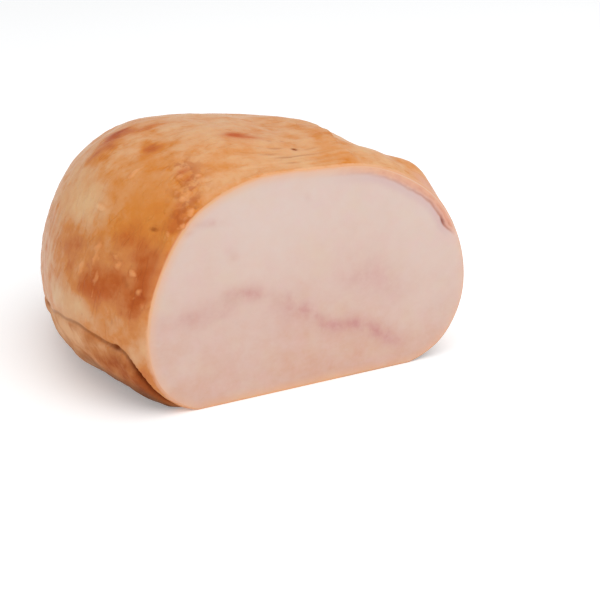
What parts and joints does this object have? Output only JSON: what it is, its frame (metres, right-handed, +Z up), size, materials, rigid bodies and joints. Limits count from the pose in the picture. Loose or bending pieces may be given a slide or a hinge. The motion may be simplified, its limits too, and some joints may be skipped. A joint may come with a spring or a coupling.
{
  "type": "cooked turkey breast",
  "caption": "Cooked turkey breast with its skin on, sliced off flat at the front, rounded at the back and resting on its flat underside.",
  "frame": {"origin": "on the table, under the middle of the part's box", "axes": "+X across the cut face to its right side, +Y from the cut face to the rounded end, +Z up"},
  "size_m": [0.2046, 0.18, 0.1262],
  "materials": {
    "roast_turkey": "golden-brown roasted skin with a soft gloss, and pale pink sliced meat on the cut face"
  },
  "bodies": {
    "root": {"turkey_breast": "roast_turkey"}
  },
  "joints": []
}
